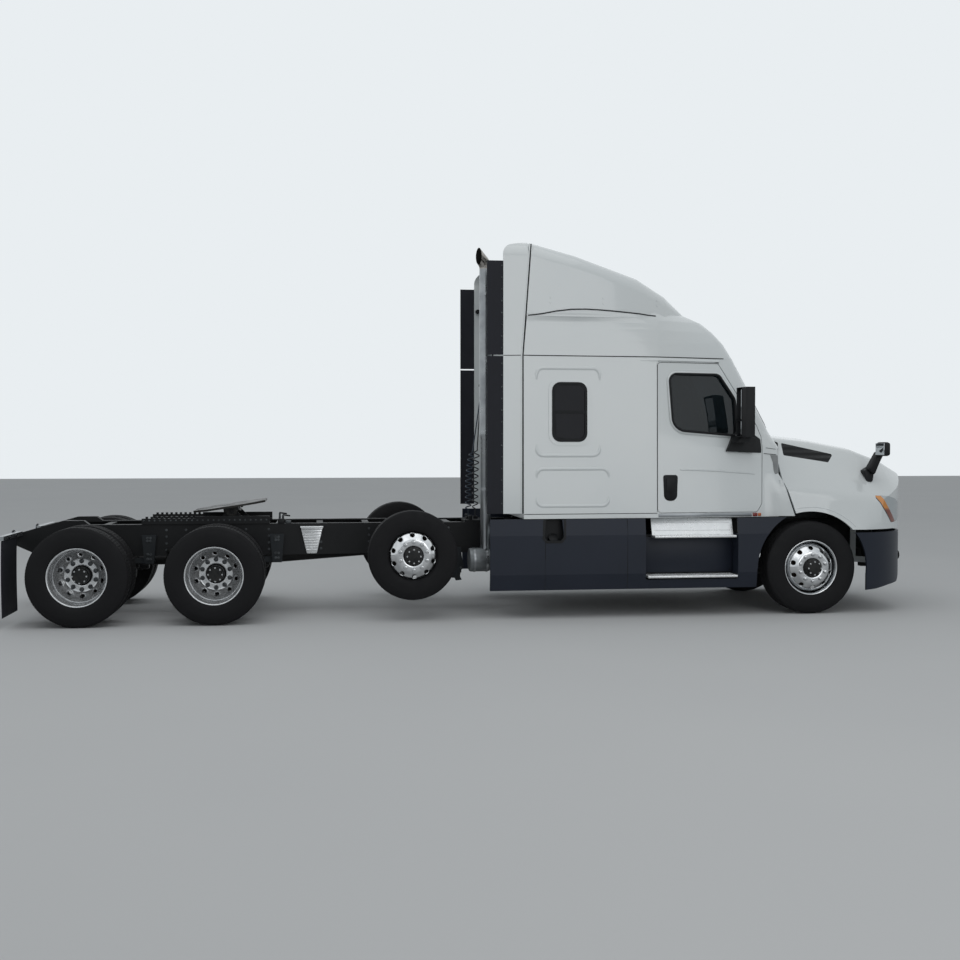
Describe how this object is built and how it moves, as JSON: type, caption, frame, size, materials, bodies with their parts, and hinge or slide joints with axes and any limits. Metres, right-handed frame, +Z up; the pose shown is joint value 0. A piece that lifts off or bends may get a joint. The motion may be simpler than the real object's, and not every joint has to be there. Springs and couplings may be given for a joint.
{
  "type": "semi truck tractor unit",
  "caption": "Highway tractor unit with a sleeper cab, tilting hood, opening doors, steered front wheels, a raised lift axle and a sliding, tilting fifth wheel.",
  "frame": {"origin": "on the ground at the middle of the truck's length and width", "axes": "+X towards the front bumper, +Y to the driver's left, +Z up"},
  "size_m": [9.645, 2.84, 3.9423],
  "materials": {
    "paint": "gloss",
    "dark_trim": "satin",
    "black": "matte",
    "frame_black": "satin",
    "tyre": "matte",
    "rim": "polished",
    "steel": "satin",
    "iron": "matte",
    "glass": "gloss",
    "lamp": "gloss",
    "rubber": "matte",
    "grey": "matte",
    "hose": "matte"
  },
  "bodies": {
    "chassis_and_cab": {"frame_rails": "frame_black", "crossmembers": "frame_black", "powertrain": "iron", "front_axle": "iron", "front_springs": "iron", "drive_axles": "iron", "rear_suspension": "iron", "lift_axle": "iron", "cab_shell": "paint", "cab_glass": "glass", "cab_roof": "paint", "roof_fairing": "paint", "side_extenders": "paint", "extender_flaps": "rubber", "bumper": "dark_trim", "tanks_and_boxes": "dark_trim", "side_skirts": "dark_trim", "cab_steps": "rim", "exhaust_stack": "steel", "hose_pole": "frame_black", "air_lead_front": "hose", "air_coil_front": "hose", "air_lead_rear": "hose", "air_coil_rear": "hose", "slide_rails": "frame_black", "tail_bars": "steel", "mudflaps": "rubber", "cab_interior": "grey"},
    "knuckle_right": {"knuckle_right": "iron"},
    "knuckle_left": {"knuckle_left": "iron"},
    "tie_rod": {"tie_rod": "iron"},
    "wheel_front_right": {"tyre_front_right": "tyre", "rim_front_right": "rim"},
    "wheel_lift_right": {"tyre_lift_right": "tyre", "rim_lift_right": "rim"},
    "wheels_drive_front_right": {"tyres_drive_front_right": "tyre", "rims_drive_front_right": "rim"},
    "wheels_drive_rear_right": {"tyres_drive_rear_right": "tyre", "rims_drive_rear_right": "rim"},
    "door_right": {"door_right": "paint", "door_glass_right": "glass", "door_mirror_right": "black"},
    "wheel_front_left": {"tyre_front_left": "tyre", "rim_front_left": "rim"},
    "wheel_lift_left": {"tyre_lift_left": "tyre", "rim_lift_left": "rim"},
    "wheels_drive_front_left": {"tyres_drive_front_left": "tyre", "rims_drive_front_left": "rim"},
    "wheels_drive_rear_left": {"tyres_drive_rear_left": "tyre", "rims_drive_rear_left": "rim"},
    "door_left": {"door_left": "paint", "door_glass_left": "glass", "door_mirror_left": "black"},
    "hood": {"hood_shell": "paint", "headlamps": "lamp", "hood_vents": "black", "grille": "black", "hood_mirrors": "black"},
    "fifth_wheel_carriage": {"fifth_wheel_carriage": "iron"},
    "fifth_wheel_plate": {"fifth_wheel_plate": "iron"}
  },
  "joints": [
    {"name": "steer_right", "type": "hinge", "parent": "chassis_and_cab", "child": "knuckle_right", "pos_m": [3.5375, -0.85, 0.4957], "axis": [0, 0, 1], "range_deg": [-45, 45]},
    {"name": "steer_left", "type": "hinge", "parent": "chassis_and_cab", "child": "knuckle_left", "pos_m": [3.5375, 0.85, 0.4957], "axis": [0, 0, 1], "range_deg": [-45, 45]},
    {"name": "tie_rod_turn", "type": "hinge", "parent": "knuckle_right", "child": "tie_rod", "pos_m": [3.3375, -0.85, 0.3474], "axis": [0, 0, 1], "range_deg": [-45, 45]},
    {"name": "front_wheel_right_spin", "type": "hinge", "parent": "knuckle_right", "child": "wheel_front_right", "pos_m": [3.5375, -1.028, 0.4957], "axis": [0, 1, 0], "continuous": true},
    {"name": "lift_wheel_right_spin", "type": "hinge", "parent": "chassis_and_cab", "child": "wheel_lift_right", "pos_m": [-0.7205, -1.028, 0.672], "axis": [0, 1, 0], "continuous": true},
    {"name": "drive_front_right_spin", "type": "hinge", "parent": "chassis_and_cab", "child": "wheels_drive_front_right", "pos_m": [-2.713, -0.907, 0.4957], "axis": [0, 1, 0], "continuous": true},
    {"name": "drive_rear_right_spin", "type": "hinge", "parent": "chassis_and_cab", "child": "wheels_drive_rear_right", "pos_m": [-4.034, -0.907, 0.4957], "axis": [0, 1, 0], "continuous": true},
    {"name": "door_right_swing", "type": "hinge", "parent": "chassis_and_cab", "child": "door_right", "pos_m": [3.0255, -1.082, 1.5], "axis": [0, 0, 1], "range_deg": [0, 70]},
    {"name": "front_wheel_left_spin", "type": "hinge", "parent": "knuckle_left", "child": "wheel_front_left", "pos_m": [3.5375, 1.028, 0.4957], "axis": [0, 1, 0], "continuous": true},
    {"name": "lift_wheel_left_spin", "type": "hinge", "parent": "chassis_and_cab", "child": "wheel_lift_left", "pos_m": [-0.7205, 1.028, 0.672], "axis": [0, 1, 0], "continuous": true},
    {"name": "drive_front_left_spin", "type": "hinge", "parent": "chassis_and_cab", "child": "wheels_drive_front_left", "pos_m": [-2.713, 0.907, 0.4957], "axis": [0, 1, 0], "continuous": true},
    {"name": "drive_rear_left_spin", "type": "hinge", "parent": "chassis_and_cab", "child": "wheels_drive_rear_left", "pos_m": [-4.034, 0.907, 0.4957], "axis": [0, 1, 0], "continuous": true},
    {"name": "door_left_swing", "type": "hinge", "parent": "chassis_and_cab", "child": "door_left", "pos_m": [3.0255, 1.082, 1.5], "axis": [0, 0, -1], "range_deg": [0, 70]},
    {"name": "hood_tilt", "type": "hinge", "parent": "chassis_and_cab", "child": "hood", "pos_m": [4.7025, 0, 0.5], "axis": [0, 1, 0], "range_deg": [0, 75]},
    {"name": "fifth_wheel_slide", "type": "slide", "parent": "chassis_and_cab", "child": "fifth_wheel_carriage", "axis": [1, 0, 0], "range_m": [-0.457, 0]},
    {"name": "fifth_wheel_tilt", "type": "hinge", "parent": "fifth_wheel_carriage", "child": "fifth_wheel_plate", "pos_m": [-2.5925, 0, 1.1], "axis": [0, 1, 0], "range_deg": [0, 23.5]}
  ],
  "couplings": [
    {"joint": "steer_left", "follows": "steer_right", "ratio": 1},
    {"joint": "tie_rod_turn", "follows": "steer_right", "ratio": -1}
  ]
}
